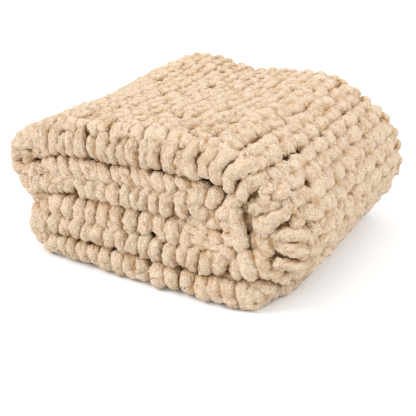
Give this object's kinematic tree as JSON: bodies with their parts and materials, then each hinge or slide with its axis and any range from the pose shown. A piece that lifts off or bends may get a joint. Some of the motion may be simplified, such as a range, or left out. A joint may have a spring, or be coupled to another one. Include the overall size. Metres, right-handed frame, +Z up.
{
  "type": "chunky knit blanket",
  "caption": "Thick plush hand-knitted throw, doubled and folded back and forth into a soft stack with its end laid over one side.",
  "frame": {"origin": "centre of the bounding box, on the surface the blanket lies on", "axes": "+X along the folded front from left to right, +Y from the folded front to the open back, +Z up"},
  "size_m": [0.515, 0.4166, 0.2369],
  "materials": {
    "plush_yarn": "very thick plush chenille yarn in warm cream, matt with a soft sheen"
  },
  "bodies": {
    "root": {"blanket": "plush_yarn"}
  },
  "joints": []
}
